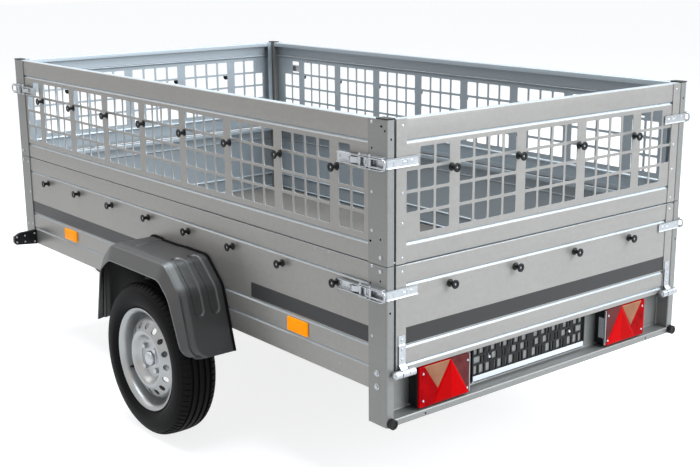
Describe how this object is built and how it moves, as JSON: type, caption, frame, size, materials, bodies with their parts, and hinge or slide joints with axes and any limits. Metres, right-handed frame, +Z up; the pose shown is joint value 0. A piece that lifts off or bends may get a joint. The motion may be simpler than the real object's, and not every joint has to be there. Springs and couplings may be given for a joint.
{
  "type": "utility trailer",
  "caption": "Single-axle utility trailer: pressed steel box with a mesh extension, hinged rear gates, V drawbar with ball coupling, mudguards, rear lamps and a jockey wheel.",
  "frame": {"origin": "on the floor below the middle of the whole trailer", "axes": "+X forward along the drawbar, +Y to the left side, +Z up"},
  "size_m": [3.5054, 1.716, 1.178],
  "materials": {
    "galvanised_sheet": "spangled zinc sheet, matt",
    "galvanised_steel": "hot-dip zinc, matt",
    "bright_zinc": "bright zinc plating",
    "silver_paint": "silver enamel",
    "tyre_rubber": "matt black",
    "black_plastic": "fine-grained moulding",
    "red_lens": "clear gloss",
    "amber_lens": "prismatic reflector",
    "clear_lens": "clear gloss",
    "buffer_rubber": "matt",
    "floor_board": "film-faced board, dark"
  },
  "bodies": {
    "chassis": {"axle_beam": "galvanised_steel", "buffers": "buffer_rubber", "corner_posts_lower": "galvanised_steel", "corner_posts_upper": "galvanised_steel", "coupling": "bright_zinc", "cross_members": "galvanised_steel", "drawbar_arms": "galvanised_steel", "drawbar_head": "galvanised_steel", "floor_panel": "floor_board", "front_board": "galvanised_sheet", "front_board_knobs": "black_plastic", "front_marker_bodies": "black_plastic", "front_marker_lenses": "clear_lens", "hinge_seats": "bright_zinc", "jockey_clamp": "galvanised_steel", "jockey_tube": "bright_zinc", "lamp_bodies": "black_plastic", "lamp_lenses": "red_lens", "latches": "bright_zinc", "mesh_wall_left": "galvanised_sheet", "mesh_wall_right": "galvanised_sheet", "mudguard_left": "black_plastic", "mudguard_right": "black_plastic", "plate_holder": "black_plastic", "post_caps": "black_plastic", "post_joint_plates": "galvanised_steel", "rear_beam": "galvanised_steel", "side_knobs": "black_plastic", "side_rails": "galvanised_steel", "side_reflectors": "amber_lens", "side_wall_left": "galvanised_sheet", "side_wall_right": "galvanised_sheet", "swing_arms": "galvanised_steel"},
    "wheel_left": {"tyre_left": "tyre_rubber", "rim_left": "silver_paint", "hub_left": "bright_zinc"},
    "wheel_right": {"tyre_right": "tyre_rubber", "rim_right": "silver_paint", "hub_right": "bright_zinc"},
    "tailgate": {"tailgate_panel": "galvanised_sheet", "tailgate_strips": "galvanised_sheet", "tailgate_knobs": "black_plastic", "tailgate_catches": "bright_zinc", "tailgate_hinge_leaves": "bright_zinc"},
    "rear_mesh_gate": {"rear_mesh_panel": "galvanised_sheet", "rear_mesh_strips": "galvanised_sheet", "rear_mesh_knobs": "black_plastic", "rear_mesh_catches": "bright_zinc"},
    "front_mesh_gate": {"front_mesh_panel": "galvanised_sheet", "front_mesh_strips": "galvanised_sheet", "front_mesh_knobs": "black_plastic", "front_mesh_catches": "bright_zinc"},
    "jockey_stem": {"jockey_stem": "bright_zinc"},
    "jockey_fork": {"jockey_fork": "bright_zinc"},
    "jockey_wheel": {"jockey_tyre": "tyre_rubber", "jockey_hub": "black_plastic"}
  },
  "joints": [
    {"name": "wheel_left_spin", "type": "hinge", "parent": "chassis", "child": "wheel_left", "pos_m": [-0.6927, 0.785, 0.266], "axis": [0, 1, 0], "continuous": true},
    {"name": "wheel_right_spin", "type": "hinge", "parent": "chassis", "child": "wheel_right", "pos_m": [-0.6927, -0.785, 0.266], "axis": [0, 1, 0], "continuous": true},
    {"name": "tailgate_hinge", "type": "hinge", "parent": "chassis", "child": "tailgate", "pos_m": [-1.7407, 0, 0.46], "axis": [0, -1, 0], "range_deg": [0, 180]},
    {"name": "rear_mesh_hinge", "type": "hinge", "parent": "chassis", "child": "rear_mesh_gate", "pos_m": [-1.7227, 0, 0.78], "axis": [0, -1, 0], "range_deg": [0, 90]},
    {"name": "front_mesh_hinge", "type": "hinge", "parent": "chassis", "child": "front_mesh_gate", "pos_m": [0.6233, 0, 0.78], "axis": [0, 1, 0], "range_deg": [0, 90]},
    {"name": "jockey_lift", "type": "slide", "parent": "chassis", "child": "jockey_stem", "axis": [0, 0, 1], "range_m": [-0.04, 0.135]},
    {"name": "jockey_swivel", "type": "hinge", "parent": "jockey_stem", "child": "jockey_fork", "pos_m": [1.2883, 0, 0.225], "axis": [0, 0, 1], "continuous": true},
    {"name": "jockey_spin", "type": "hinge", "parent": "jockey_fork", "child": "jockey_wheel", "pos_m": [1.2523, 0, 0.1], "axis": [0, 1, 0], "continuous": true}
  ]
}
